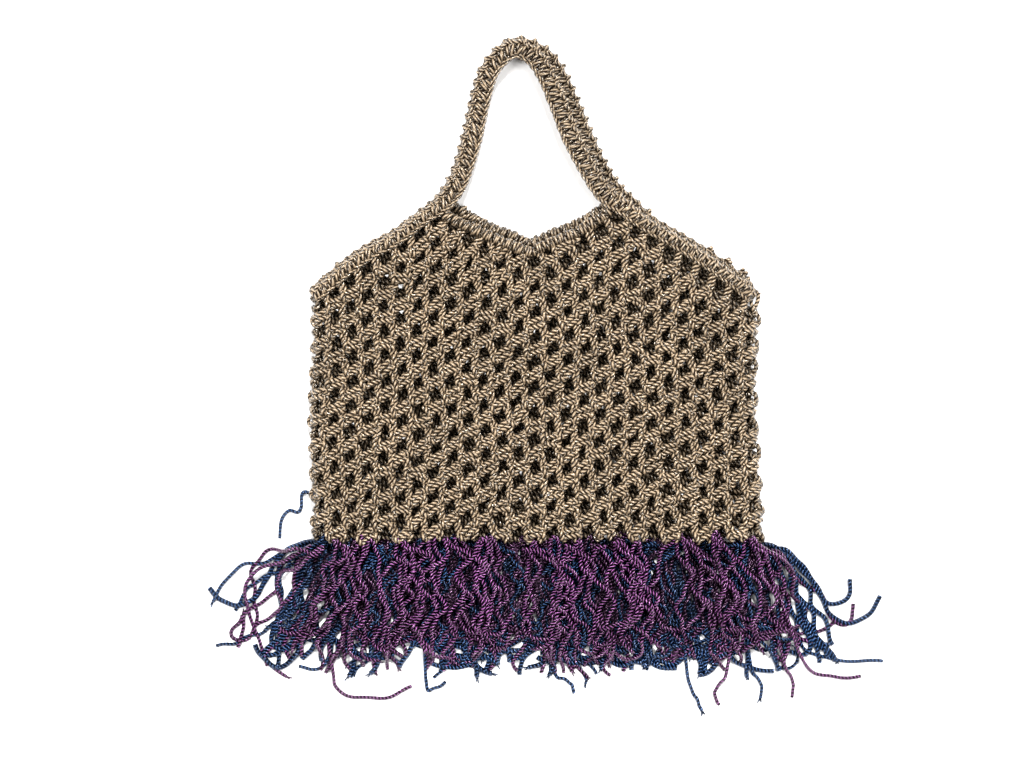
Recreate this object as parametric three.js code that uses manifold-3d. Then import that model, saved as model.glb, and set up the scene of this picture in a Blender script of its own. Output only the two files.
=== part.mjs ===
// Knotted tote bag lying flat on its back, in millimetres.
// +Z is up, +Y runs towards the handles and +X to the right of the front face.

import * as THREE from 'three';
import { mergeVertices } from 'three/addons/utils/BufferGeometryUtils.js';
import Module from 'manifold-3d';

const wasm = await Module();
wasm.setup();

// Driving sizes of the net
const net = {
  left: -201,
  right: 180,
  hem: -140,
  hemWave: 2.5,
  hemWaveLength: 140,
  hemSteps: 10,
  rightBulge: 5,
  bulgeFrom: -78,
  corner: 60,
  footLeft: -86,
  footRight: 62,
  pitch: 47.6,
  row: 17.4,
  holeWide: 16,
  holeTall: 18,
  thick: 6,
  knotRise: 2.4,
  rowTilt: 0.035,
  tiltFrom: -90,
  tiltOver: 180,
  unevenness: 1.3,
};

// Heights of the two faces over the floor
const layer = {
  backTop: net.thick,
  frontLow: 14.8,
  frontCrown: 3,
  crownWide: 360,
  crownTall: 260,
  crownY: -20,
  ripple: 0.3,
};

// Edge cord of each face, and the joined sides and hem
const edge = {
  wide: 7,
  proud: 0.6,
  bump: 2.2,
  sideWide: 5,
  sideLow: 3,
  sideHigh: 18,
  sideEnd: 8,
  samplePitch: 14,
};

// Wrapped bands: half widths on the slopes and on the handle, and their ridges
const band = {
  slopeHalf: 6.6,
  handleHalf: 9.6,
  rimHalf: 4.7,
  thick: 9.4,
  ridgeStep: 7.2,
  groove: 0.86,
  sides: 8,
};

// Clearance between pieces that touch, and the finest facet kept after a join
const clear = 0.3;
const sliver = 0.15;

// Colours read as knotted cord
const sandCord = new THREE.Color('#b3a182');
const purpleCord = new THREE.Color('#5b2a63');
const navyCord = new THREE.Color('#1e2f57');

// Centrelines of the bands: place, half width and height of the underside
const frontBand = [
  { x: -197.5, y: 67, half: band.slopeHalf, low: 14.4 },
  { x: -159.4, y: 98.2, half: band.slopeHalf, low: 14.8 },
  { x: -125.4, y: 117.7, half: band.slopeHalf, low: 15 },
  { x: -105, y: 133.9, half: band.slopeHalf, low: 15 },
  { x: -89.5, y: 144.9, half: 8.4, low: 14.2 },
  { x: -79.5, y: 157.7, half: band.handleHalf, low: 12.6 },
  { x: -71.8, y: 174.7, half: band.handleHalf, low: 10.4 },
  { x: -63.3, y: 203.6, half: band.handleHalf, low: 9.9 },
  { x: -54.8, y: 242.7, half: band.handleHalf, low: 9.9 },
  { x: -46.3, y: 263.9, half: band.handleHalf, low: 9.9 },
  { x: -29, y: 278.5, half: band.handleHalf, low: 9.9 },
  { x: -12, y: 273, half: band.handleHalf, low: 9.9 },
  { x: 0.4, y: 256.3, half: band.handleHalf, low: 9.9 },
  { x: 11.5, y: 229.9, half: band.handleHalf, low: 9.9 },
  { x: 21.7, y: 203.6, half: band.handleHalf, low: 9.9 },
  { x: 37, y: 174.7, half: band.handleHalf, low: 10.4 },
  { x: 50.6, y: 154.3, half: band.handleHalf, low: 12.8 },
  { x: 66.7, y: 142.4, half: 8.4, low: 14.2 },
  { x: 86.3, y: 127.1, half: band.slopeHalf, low: 15 },
  { x: 121.1, y: 106.7, half: band.slopeHalf, low: 15 },
  { x: 160.2, y: 79.5, half: band.slopeHalf, low: 14.8 },
  { x: 174.5, y: 65.5, half: band.slopeHalf, low: 14.4 },
];

const backBand = [
  { x: -199.5, y: 69.5, half: band.slopeHalf, low: 0 },
  { x: -161, y: 101.6, half: band.slopeHalf, low: 0 },
  { x: -127, y: 121.1, half: band.slopeHalf, low: 0 },
  { x: -106.7, y: 136.4, half: band.slopeHalf, low: 0 },
  { x: -91, y: 147.5, half: 8.4, low: 0 },
  { x: -81.2, y: 159.4, half: band.handleHalf, low: 0 },
  { x: -72.7, y: 176.4, half: band.handleHalf, low: 0 },
  { x: -65, y: 203.6, half: band.handleHalf, low: 0 },
  { x: -55.7, y: 242.7, half: band.handleHalf, low: 0 },
  { x: -46.5, y: 266, half: band.handleHalf, low: 0 },
  { x: -27.6, y: 281.4, half: band.handleHalf, low: 0 },
  { x: -7.2, y: 277, half: band.handleHalf, low: 0 },
  { x: 8.1, y: 261.4, half: band.handleHalf, low: 0 },
  { x: 22.5, y: 229.9, half: band.handleHalf, low: 0 },
  { x: 33.6, y: 203.6, half: band.handleHalf, low: 0 },
  { x: 46.3, y: 176.4, half: band.handleHalf, low: 0 },
  { x: 59.1, y: 157.7, half: band.handleHalf, low: 0 },
  { x: 72.7, y: 145.8, half: 8.4, low: 0 },
  { x: 88.8, y: 131.3, half: band.slopeHalf, low: 0 },
  { x: 123.7, y: 110.9, half: band.slopeHalf, low: 0 },
  { x: 162.8, y: 83.7, half: band.slopeHalf, low: 0 },
  { x: 176.5, y: 68, half: band.slopeHalf, low: 0 },
];

// Centrelines of the two V necklines
const frontRim = [
  { x: -77.2, y: 128.6, half: band.rimHalf, low: 14.8 },
  { x: -55.2, y: 117.8, half: band.rimHalf, low: 14.8 },
  { x: -36.5, y: 111.4, half: band.rimHalf, low: 14.8 },
  { x: -23.4, y: 106.9, half: band.rimHalf, low: 14.8 },
  { x: -13.5, y: 106, half: band.rimHalf, low: 14.8 },
  { x: -0.7, y: 109.2, half: band.rimHalf, low: 14.8 },
  { x: 13.2, y: 114.6, half: band.rimHalf, low: 14.8 },
  { x: 25.9, y: 122.8, half: band.rimHalf, low: 14.8 },
  { x: 40, y: 131.6, half: band.rimHalf, low: 14.8 },
];

const backRim = [
  { x: -71, y: 140.7, half: band.rimHalf, low: 0 },
  { x: -57.6, y: 132.4, half: band.rimHalf, low: 0 },
  { x: -41.4, y: 125.1, half: band.rimHalf, low: 0 },
  { x: -26.8, y: 120.3, half: band.rimHalf, low: 0 },
  { x: -13.8, y: 117.2, half: band.rimHalf, low: 0 },
  { x: 3.4, y: 122.8, half: band.rimHalf, low: 0 },
  { x: 19.6, y: 127.6, half: band.rimHalf, low: 0 },
  { x: 31.9, y: 132.4, half: band.rimHalf, low: 0 },
  { x: 42, y: 139, half: band.rimHalf, low: 0 },
];

// Fringe cords: four layers of wavy strands, two to a colour
const fringe = {
  strandWide: 6.4,
  strandTall: 4.3,
  steps: 6,
  rootLeft: -196,
  rootRight: 182,
  rootY: -144.5,
  lengthSpread: 14,
  strayStep: 16,
  sway: 5.4,
  waves: 1.6,
  phaseStep: 1.05,
  stripWide: 7,
  stripProud: 0.6,
};

const fringeLayers = [
  { colour: 'navy', strands: 24, low: 0, length: 94, tipLeft: -216, tipRight: 205, phase: 0.4, seed: 3 },
  { colour: 'navy', strands: 22, low: 5, length: 90, tipLeft: -214, tipRight: 203, phase: 2.1, seed: 11 },
  { colour: 'purple', strands: 26, low: 10, length: 102, tipLeft: -227, tipRight: 214, phase: 3.9, seed: 23 },
  { colour: 'purple', strands: 24, low: 15, length: 94, tipLeft: -220, tipRight: 208, phase: 5.2, seed: 37 },
];

// Loose cords that stray past the fringe, from their root in the strip to the tip
const strays = [
  { colour: 'navy', route: [
    { x: -200, y: -144.5, low: 0 }, { x: -222, y: -151, low: 0 }, { x: -243, y: -160, low: 0 },
    { x: -262, y: -163, low: 0 }, { x: -277, y: -179, low: 0 }, { x: -285.3, y: -193, low: 0 } ] },
  { colour: 'navy', route: [
    { x: -198, y: -148, low: 0 }, { x: -217, y: -162, low: 0 }, { x: -240, y: -172, low: 0 },
    { x: -255, y: -182, low: 0 }, { x: -266, y: -201, low: 0 } ] },
  { colour: 'purple', route: [
    { x: -200, y: -144.5, low: 12 }, { x: -224, y: -158, low: 11 }, { x: -246, y: -166, low: 7 },
    { x: -257, y: -180, low: 6.5 }, { x: -254, y: -203, low: 2 }, { x: -246, y: -224, low: 0 },
    { x: -239, y: -244, low: 0 }, { x: -222, y: -257, low: 0 } ] },
  { colour: 'navy', route: [
    { x: 186, y: -146, low: 0 }, { x: 199, y: -174, low: 0 }, { x: 212, y: -206, low: 0 },
    { x: 222, y: -235, low: 0 }, { x: 252, y: -243, low: 0 }, { x: 287.9, y: -244.5, low: 0 } ] },
  { colour: 'purple', route: [
    { x: 186, y: -146, low: 12 }, { x: 193, y: -176, low: 12 }, { x: 206, y: -208, low: 11 },
    { x: 217, y: -240, low: 7 }, { x: 230, y: -254, low: 0 }, { x: 248, y: -258, low: 0 },
    { x: 269, y: -257, low: 0 } ] },
];

// Long ends that run on past the tip of one strand of a layer
const tails = [
  { layer: 2, strand: 3, route: [
    { x: -181, y: -253, low: 4 }, { x: -179, y: -268, low: 0 }, { x: -162, y: -275, low: 0 },
    { x: -137, y: -275, low: 0 }, { x: -115, y: -266, low: 0 } ] },
  { layer: 0, strand: 7, route: [
    { x: -103, y: -258, low: 0 }, { x: -100, y: -269, low: 0 }, { x: -86, y: -262, low: 0 } ] },
  { layer: 0, strand: 12, route: [
    { x: 8, y: -255, low: 0 }, { x: 20, y: -262, low: 0 }, { x: 24, y: -271, low: 0 } ] },
  { layer: 0, strand: 18, route: [
    { x: 122, y: -262, low: 0 }, { x: 129, y: -277, low: 0 }, { x: 133, y: -289.7, low: 0 } ] },
  { layer: 2, strand: 21, route: [
    { x: 153, y: -256, low: 4 }, { x: 144, y: -270, low: 0 }, { x: 148, y: -282, low: 0 } ] },
  { layer: 0, strand: 21, route: [
    { x: 176, y: -252, low: 0 }, { x: 184, y: -264, low: 0 }, { x: 183, y: -276, low: 0 } ] },
  { layer: 2, strand: 24, route: [
    { x: 204, y: -248, low: 4 }, { x: 211, y: -262, low: 0 }, { x: 210, y: -275, low: 0 } ] },
];

// A repeatable number from 0 to 1 for a strand or knot
function scatter(a, b) {
  const wave = Math.sin(a * 127.1 + b * 311.7) * 43758.5453;
  return wave - Math.floor(wave);
}

// Closed triangle mesh as a solid, turned outwards if it came out inside out
function solidFrom(points, triangles) {
  let volume = 0;
  for (const [a, b, c] of triangles) {
    volume += points[a].dot(new THREE.Vector3().crossVectors(points[b], points[c]));
  }
  const outward = volume > 0 ? triangles : triangles.map(([a, b, c]) => [a, c, b]);
  return new wasm.Manifold(new wasm.Mesh({
    numProp: 3,
    vertProperties: new Float32Array(points.flatMap((point) => point.toArray())),
    triVerts: new Uint32Array(outward.flat()),
  }));
}

// Sections joined one to the next; a loop joins the last to the first, the rest get end caps
function sweep(sections, loop = false) {
  const sides = sections[0].length;
  const points = sections.flat();
  const triangles = [];
  const last = loop ? sections.length : sections.length - 1;
  for (let i = 0; i < last; i += 1) {
    const here = i * sides;
    const next = ((i + 1) % sections.length) * sides;
    for (let k = 0; k < sides; k += 1) {
      const turn = (k + 1) % sides;
      triangles.push([here + k, here + turn, next + turn], [here + k, next + turn, next + k]);
    }
  }
  if (!loop) {
    const end = (sections.length - 1) * sides;
    for (let k = 1; k < sides - 1; k += 1) {
      triangles.push([0, k + 1, k], [end, end + k, end + k + 1]);
    }
  }
  return solidFrom(points, triangles);
}

function unite(solids) {
  return solids.reduce((whole, piece) => whole.add(piece));
}

// Points at an even spacing along a smooth curve through a table's rows
function smoothRoute(rows, spacing) {
  const places = rows.map((row) => new THREE.Vector3(row.x, row.y, 0));
  const curve = new THREE.CatmullRomCurve3(places, false, 'centripetal');
  const halves = rows.map((row) => row.half ?? 0);
  const count = Math.max(2, Math.round(curve.getLength() / spacing));
  const route = [];
  for (let i = 0; i <= count; i += 1) {
    const t = curve.getUtoTmapping(i / count);
    const along = t * (rows.length - 1);
    const from = Math.min(Math.floor(along), rows.length - 2);
    const place = curve.getPoint(t);
    const half = THREE.MathUtils.lerp(halves[from], halves[from + 1], along - from);
    const low = THREE.MathUtils.lerp(rows[from].low, rows[from + 1].low, along - from);
    route.push({ x: place.x, y: place.y, low, half });
  }
  return route;
}

// Unit normal to the left of travel at a point of a route
function sideways(route, i) {
  const before = route[Math.max(i - 1, 0)];
  const after = route[Math.min(i + 1, route.length - 1)];
  return new THREE.Vector2(-(after.y - before.y), after.x - before.x).normalize();
}

// A wrapped band: a flat-bottomed oval carried along its route, with a ridge at every second section
function wrappedBand(rows) {
  const route = smoothRoute(rows, band.ridgeStep);
  const sections = route.map((point, i) => {
    const side = sideways(route, i);
    const swell = i % 2 === 0 ? 1 : band.groove;
    const section = [];
    for (let k = 0; k < band.sides; k += 1) {
      const angle = ((k + 0.5) / band.sides) * Math.PI * 2;
      const reach = Math.cos(angle) / Math.cos(Math.PI / band.sides);
      const rise = Math.sin(angle) / Math.cos(Math.PI / band.sides);
      const across = reach * point.half * swell;
      const tall = ((rise + 1) / 2) * band.thick * (rise > 0 ? swell : 1);
      section.push(new THREE.Vector3(point.x + side.x * across, point.y + side.y * across, point.low + tall));
    }
    return section;
  });
  return sweep(sections);
}

// The net's edge along a band: off its ridges by the clearance, where the test holds
function bandEdge(rows, every, holds) {
  const route = smoothRoute(rows, band.ridgeStep);
  const points = [];
  route.forEach((point, i) => {
    const side = sideways(route, i);
    const reach = point.half + clear;
    const kept = i % every === 0 || i === route.length - 1;
    if (kept && holds(point)) {
      points.push(new THREE.Vector2(point.x - side.x * reach, point.y - side.y * reach));
    }
  });
  return points;
}

// The wavy hem, from left to right
function hemLine() {
  const points = [];
  for (let i = 0; i <= net.hemSteps; i += 1) {
    const x = THREE.MathUtils.lerp(net.left, net.right + net.rightBulge, i / net.hemSteps);
    const wave = net.hemWave * Math.sin((x * Math.PI * 2) / net.hemWaveLength);
    points.push(new THREE.Vector2(x, net.hem + wave));
  }
  return points;
}

// Outline of a face, counter-clockwise from the lower left: hem, right side, band, neckline, band, left side
function faceOutline(bandRows, rimRows) {
  const leftSlope = bandEdge(bandRows, 2, (point) => point.x < net.footLeft);
  const neck = bandEdge(rimRows, 1, () => true);
  const rightSlope = bandEdge(bandRows, 2, (point) => point.x > net.footRight);
  const top = [...leftSlope, ...neck, ...rightSlope].reverse();
  const hem = hemLine();
  const sidePoints = (x, bulge, lowY, highY) => {
    const points = [];
    const count = Math.round((highY - lowY) / edge.samplePitch);
    for (let i = 1; i <= count; i += 1) {
      const y = THREE.MathUtils.lerp(lowY, highY, i / count);
      const knot = i % 2 === 0 ? edge.bump : 0;
      const share = Math.max(0, (net.bulgeFrom - y) / (net.bulgeFrom - net.hem));
      const outward = Math.sign(x) * (knot + bulge * share);
      points.push(new THREE.Vector2(x + outward, y));
    }
    return points;
  };
  const rightSide = sidePoints(net.right, net.rightBulge, net.hem, net.corner);
  const leftSide = sidePoints(net.left, 0, net.hem, net.corner).reverse();
  return [...hem, ...rightSide, ...top, ...leftSide];
}

// Outline moved inwards by a distance, at each corner along the mean of its two normals
function inset(outline, distance) {
  return outline.map((point, i) => {
    const before = outline[(i + outline.length - 1) % outline.length];
    const after = outline[(i + 1) % outline.length];
    const a = new THREE.Vector2().subVectors(point, before).normalize();
    const b = new THREE.Vector2().subVectors(after, point).normalize();
    const inward = new THREE.Vector2(-(a.y + b.y), a.x + b.x).normalize();
    const stretch = Math.min(1 / Math.max(inward.dot(new THREE.Vector2(-a.y, a.x)), 0.5), 1.4);
    return point.clone().addScaledVector(inward, distance * stretch);
  });
}

// Where a knot of the even net really lies: rows tilt up to the right and wander a little
function wander(x, y) {
  const drift = net.unevenness * Math.sin(x * 0.031 + y * 0.043);
  const lift = net.unevenness * Math.sin(x * 0.047 - y * 0.029 + 1.3);
  const tilt = THREE.MathUtils.clamp((y - net.tiltFrom) / net.tiltOver, -0.4, 1) * net.rowTilt;
  return new THREE.Vector2(x + drift, y + x * tilt + lift);
}

// One face of the net, wider than needed: knots as four-cornered lozenges with a raised middle,
// tails as the quads between them, and diamond holes left open
function netSheet(shiftX, shiftY, lower, upper) {
  const halfWide = net.holeWide / 2;
  const halfTall = net.holeTall / 2;
  const corners = [];
  const seen = new Map();
  const corner = (x, y) => {
    const key = `${x.toFixed(2)} ${y.toFixed(2)}`;
    if (!seen.has(key)) {
      seen.set(key, corners.length);
      corners.push(wander(x, y));
    }
    return seen.get(key);
  };
  const columns = 11;
  const rows = 13;
  const isKnot = (u, v) => (u + v) % 2 !== 0 && Math.abs(u) <= columns && Math.abs(v) <= rows;
  const knots = [];
  const tailsOfKnots = [];
  for (let u = -columns; u <= columns; u += 1) {
    for (let v = -rows; v <= rows; v += 1) {
      if (!isKnot(u, v)) continue;
      const x = (u * net.pitch) / 2 + shiftX;
      const y = v * net.row + shiftY;
      const reachX = net.pitch / 2 - halfWide;
      const reachY = net.row - halfTall;
      const west = corner(x - reachX, y);
      const east = corner(x + reachX, y);
      const north = corner(x, y + reachY);
      const south = corner(x, y - reachY);
      knots.push([west, south, east, north]);
      if (isKnot(u + 1, v + 1)) {
        const nextWest = corner(x + halfWide, y + net.row);
        const nextSouth = corner(x + net.pitch / 2, y + halfTall);
        tailsOfKnots.push([east, nextSouth, nextWest, north]);
      }
      if (isKnot(u - 1, v + 1)) {
        const nextEast = corner(x - halfWide, y + net.row);
        const nextSouth = corner(x - net.pitch / 2, y + halfTall);
        tailsOfKnots.push([north, nextEast, nextSouth, west]);
      }
    }
  }

  const points = [];
  for (const { x, y } of corners) {
    points.push(new THREE.Vector3(x, y, lower(x, y)), new THREE.Vector3(x, y, upper(x, y)));
  }
  const triangles = [];
  const openEdges = new Map();
  const cover = (polygon) => {
    const [a, b, c, d] = polygon.map((i) => i * 2);
    triangles.push([a, c, b], [a, d, c]);
    polygon.forEach((from, k) => {
      const to = polygon[(k + 1) % 4];
      if (!openEdges.delete(`${to} ${from}`)) openEdges.set(`${from} ${to}`, [from, to]);
    });
    return [a + 1, b + 1, c + 1, d + 1];
  };
  for (const polygon of knots) {
    const top = cover(polygon);
    const middle = top.reduce((sum, i) => sum.add(points[i]), new THREE.Vector3()).divideScalar(4);
    middle.z += net.knotRise;
    points.push(middle);
    top.forEach((from, k) => triangles.push([from, top[(k + 1) % 4], points.length - 1]));
  }
  for (const polygon of tailsOfKnots) {
    const [a, b, c, d] = cover(polygon);
    triangles.push([a, b, c], [a, c, d]);
  }
  for (const [from, to] of openEdges.values()) {
    triangles.push([from * 2, to * 2, to * 2 + 1], [from * 2, to * 2 + 1, from * 2 + 1]);
  }
  return solidFrom(points, triangles);
}

// A straight wall inside an outline, tall enough to cut a face out of the sheet
function outlineBlock(outline) {
  const tall = 80;
  const shape = new THREE.Shape(outline);
  const block = new THREE.ExtrudeGeometry(shape, { depth: tall, bevelEnabled: false });
  block.translate(0, 0, -tall / 2);
  block.deleteAttribute('normal');
  block.deleteAttribute('uv');
  const merged = mergeVertices(block, 1e-4);
  return new wasm.Manifold(new wasm.Mesh({
    numProp: 3,
    vertProperties: new Float32Array(merged.attributes.position.array),
    triVerts: new Uint32Array(merged.index.array),
  }));
}

// The cord that edges a face all round
function edgeCord(outline, lower, upper, proudBelow) {
  const inner = inset(outline, edge.wide);
  const sections = outline.map((outside, i) => {
    const inside = inner[i];
    const low = lower(outside.x, outside.y) - proudBelow;
    const high = upper(outside.x, outside.y) + edge.proud;
    return [
      new THREE.Vector3(outside.x, outside.y, low),
      new THREE.Vector3(inside.x, inside.y, low),
      new THREE.Vector3(inside.x, inside.y, high),
      new THREE.Vector3(outside.x, outside.y, high),
    ];
  });
  return sweep(sections, true);
}

// Joined sides and hem between the two faces: a wall from the left corner round to the right one
function joinedSides(outline) {
  const inner = inset(outline, edge.sideWide);
  const outer = inset(outline, clear);
  const low = outline.map((point) => point.y < net.corner - edge.sideEnd);
  const start = low.lastIndexOf(false) + 1;
  const order = outline.map((_, i) => (start + i) % outline.length).filter((i) => low[i]);
  const sections = order.map((i) => [
    new THREE.Vector3(outer[i].x, outer[i].y, edge.sideLow),
    new THREE.Vector3(inner[i].x, inner[i].y, edge.sideLow),
    new THREE.Vector3(inner[i].x, inner[i].y, edge.sideHigh),
    new THREE.Vector3(outer[i].x, outer[i].y, edge.sideHigh),
  ]);
  return sweep(sections);
}

// How far the front face is lifted at a place by the slack in the pouch
function crown(x, y) {
  const middle = (net.left + net.right) / 2;
  const across = Math.max(0, 1 - ((x - middle) / (layer.crownWide / 2)) ** 2);
  const along = Math.max(0, 1 - ((y - layer.crownY) / (layer.crownTall / 2)) ** 2);
  const ripple = Math.sin(x * 0.05 + 1) + Math.sin(y * 0.06 + x * 0.02);
  return layer.frontCrown * across * along + layer.ripple * ripple * across;
}

function netPouch() {
  const floor = () => 0;
  const backTop = () => layer.backTop;
  const frontLow = (x, y) => layer.frontLow + crown(x, y);
  const frontTop = (x, y) => frontLow(x, y) + net.thick;
  const backOutline = faceOutline(backBand, backRim);
  const frontOutline = faceOutline(frontBand, frontRim);
  const back = netSheet(net.pitch / 4, net.row / 2, floor, backTop).intersect(outlineBlock(backOutline));
  const front = netSheet(0, 0, frontLow, frontTop).intersect(outlineBlock(frontOutline));
  return unite([
    back,
    edgeCord(backOutline, floor, backTop, 0),
    joinedSides(frontOutline),
    edgeCord(frontOutline, frontLow, frontTop, edge.proud),
    front,
  ]);
}

// A fringe cord: a flat-bottomed three-sided strand along its route
function strand(route) {
  const sections = route.map((point, i) => {
    const side = sideways(route, i).multiplyScalar(fringe.strandWide / 2);
    return [
      new THREE.Vector3(point.x - side.x, point.y - side.y, point.low),
      new THREE.Vector3(point.x + side.x, point.y + side.y, point.low),
      new THREE.Vector3(point.x, point.y, point.low + fringe.strandTall),
    ];
  });
  return sweep(sections);
}

// Route of one strand of a layer: it fans out a little and sways in step with its neighbours
function strandRoute(row, k) {
  const share = row.strands === 1 ? 0.5 : k / (row.strands - 1);
  const root = THREE.MathUtils.lerp(fringe.rootLeft, fringe.rootRight, share);
  const tip = THREE.MathUtils.lerp(row.tipLeft, row.tipRight, share);
  const length = row.length + fringe.lengthSpread * (scatter(k, row.seed) - 0.5);
  const route = [];
  for (let i = 0; i <= fringe.steps; i += 1) {
    const t = i / fringe.steps;
    const swing = Math.sin(Math.PI * 2 * fringe.waves * t + row.phase + k * fringe.phaseStep);
    const x = THREE.MathUtils.lerp(root, tip, t) + fringe.sway * swing * Math.min(1, t * 3);
    route.push({ x, y: fringe.rootY - length * t, low: row.low });
  }
  return route;
}

function fringeOf(colour) {
  const rows = fringeLayers.filter((row) => row.colour === colour);
  const lowest = rows[0].low;
  const highest = rows[rows.length - 1].low + fringe.strandTall + fringe.stripProud;
  const stripSections = hemLine().map(({ x, y }) => [
    new THREE.Vector3(x, y - clear, lowest),
    new THREE.Vector3(x, y - clear - fringe.stripWide, lowest),
    new THREE.Vector3(x, y - clear - fringe.stripWide, highest),
    new THREE.Vector3(x, y - clear, highest),
  ]);
  const solids = [sweep(stripSections)];
  for (const row of rows) {
    for (let k = 0; k < row.strands; k += 1) {
      const tail = tails.find((entry) => fringeLayers[entry.layer] === row && entry.strand === k);
      const route = strandRoute(row, k);
      solids.push(strand(tail ? [...route, ...tail.route] : route));
    }
  }
  for (const stray of strays) {
    if (stray.colour === colour) solids.push(strand(smoothRoute(stray.route, fringe.strayStep)));
  }
  return unite(solids);
}

// Geometry of a finished solid, without the slivers that joins leave
function geometryOf(solid) {
  const { vertProperties, triVerts } = solid.asOriginal().simplify(sliver).getMesh();
  const geometry = new THREE.BufferGeometry();
  geometry.setAttribute('position', new THREE.BufferAttribute(vertProperties, 3));
  geometry.setIndex(new THREE.BufferAttribute(triVerts, 1));
  return geometry;
}

function piece(name, solid, colour, roughness) {
  const finish = { color: colour, roughness, metalness: 0, flatShading: true };
  const mesh = new THREE.Mesh(geometryOf(solid), new THREE.MeshStandardMaterial(finish));
  mesh.name = name;
  return mesh;
}

const bag = new THREE.Group();
bag.add(
  piece('net_pouch', netPouch(), sandCord, 0.6),
  piece('front_handle', wrappedBand(frontBand), sandCord, 0.6),
  piece('back_handle', wrappedBand(backBand), sandCord, 0.6),
  piece('front_neck_rim', wrappedBand(frontRim), sandCord, 0.6),
  piece('back_neck_rim', wrappedBand(backRim), sandCord, 0.6),
  piece('fringe_purple', fringeOf('purple'), purpleCord, 0.5),
  piece('fringe_navy', fringeOf('navy'), navyCord, 0.5),
);

export default bag;
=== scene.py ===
import math

import bpy
import numpy as np
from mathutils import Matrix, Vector


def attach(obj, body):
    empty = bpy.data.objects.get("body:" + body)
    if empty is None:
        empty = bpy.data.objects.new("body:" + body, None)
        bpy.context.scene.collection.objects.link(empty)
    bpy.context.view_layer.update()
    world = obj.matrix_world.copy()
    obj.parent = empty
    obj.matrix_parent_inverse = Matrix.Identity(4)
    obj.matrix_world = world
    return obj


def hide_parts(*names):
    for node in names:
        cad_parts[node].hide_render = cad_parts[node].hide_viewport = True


# Knotted tote bag lying on its back. Sizes are millimetres until a mesh is made.
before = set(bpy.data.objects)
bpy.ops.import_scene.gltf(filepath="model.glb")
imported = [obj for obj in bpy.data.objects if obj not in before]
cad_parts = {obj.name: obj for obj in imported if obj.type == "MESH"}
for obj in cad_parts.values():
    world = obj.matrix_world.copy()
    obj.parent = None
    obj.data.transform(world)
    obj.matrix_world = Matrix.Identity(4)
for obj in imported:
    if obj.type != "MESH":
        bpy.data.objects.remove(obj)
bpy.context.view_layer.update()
print("frame loaded:", len(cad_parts), "nodes")

mm = 0.001

# The camera looks straight down on the table
view = {"lens": 91.0, "sensor": 36, "height": 2215, "x": -29.3, "y": -7.2}

# The floor's size is in metres
studio = {
    "floor": "#F4F3F2",
    "floorSize": 24,
    "floorRoughness": 0.9,
    "floorShine": 0.1,
    "air": "#FFFFFF",
    "airStrength": 0.07,
}

# Crossed lamps, so that no one shadow shows: strength, width in degrees, direction
lamps = {
    "key": (5.8, 9, (0.08, 0.70, 1.0)),
    "right": (3.0, 36, (0.66, -0.10, 1.0)),
    "left": (3.6, 30, (-0.64, 0.05, 1.0)),
}


# sRGB hex to linear: c / 12.92 below 0.04045, else ((c + 0.055) / 1.055) ^ 2.4
def linear(hexColour):
    channels = np.array([int(hexColour[i:i + 2], 16) for i in (1, 3, 5)]) / 255
    low = channels / 12.92
    high = ((channels + 0.055) / 1.055) ** 2.4
    return [*np.where(channels <= 0.04045, low, high), 1.0]


# Adds a node, gives it its settings and joins its inputs to other nodes' outputs
def addNode(tree, kind, settings, links):
    node = tree.nodes.new(kind)
    for key, value in settings.items():
        if isinstance(key, str) and hasattr(node, key):
            setattr(node, key, value)
        else:
            node.inputs[key].default_value = value
    for key, output in links.items():
        tree.links.new(output, node.inputs[key])
    return node


# Camera above, one wide floor, a lamp turned to each direction, and a little light from all round
def setStage():
    data = bpy.data.cameras.new("camera")
    data.lens = view["lens"]
    data.sensor_width = view["sensor"]
    camera = bpy.data.objects.new("camera", data)
    camera.location = (view["x"] * mm, view["y"] * mm, view["height"] * mm)
    bpy.context.scene.collection.objects.link(camera)
    bpy.context.scene.camera = camera

    half = studio["floorSize"] / 2
    corners = [(-half, -half, 0), (half, -half, 0), (half, half, 0), (-half, half, 0)]
    mesh = bpy.data.meshes.new("floor")
    mesh.from_pydata(corners, [], [(0, 1, 2, 3)])
    floor = bpy.data.objects.new("floor", mesh)
    bpy.context.scene.collection.objects.link(floor)
    table = bpy.data.materials.new("matt white paper")  # even and almost without shine
    table.use_nodes = True
    shader = table.node_tree.nodes["Principled BSDF"]
    shader.inputs["Base Color"].default_value = linear(studio["floor"])
    shader.inputs["Roughness"].default_value = studio["floorRoughness"]
    shader.inputs["Specular IOR Level"].default_value = studio["floorShine"]
    mesh.materials.append(table)

    for name, (strength, width, source) in lamps.items():
        light = bpy.data.lights.new(name, "SUN")
        light.energy = strength
        light.angle = math.radians(width)
        lamp = bpy.data.objects.new(name, light)
        lamp.rotation_mode = "QUATERNION"
        lamp.rotation_quaternion = Vector(source).to_track_quat("Z", "Y")
        bpy.context.scene.collection.objects.link(lamp)

    world = bpy.data.worlds.new("air")
    world.use_nodes = True
    background = world.node_tree.nodes["Background"]
    background.inputs["Color"].default_value = linear(studio["air"])
    background.inputs["Strength"].default_value = studio["airStrength"]
    bpy.context.scene.world = world
    bpy.context.scene.view_settings.view_transform = "Standard"


setStage()
print("stage set")


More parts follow.
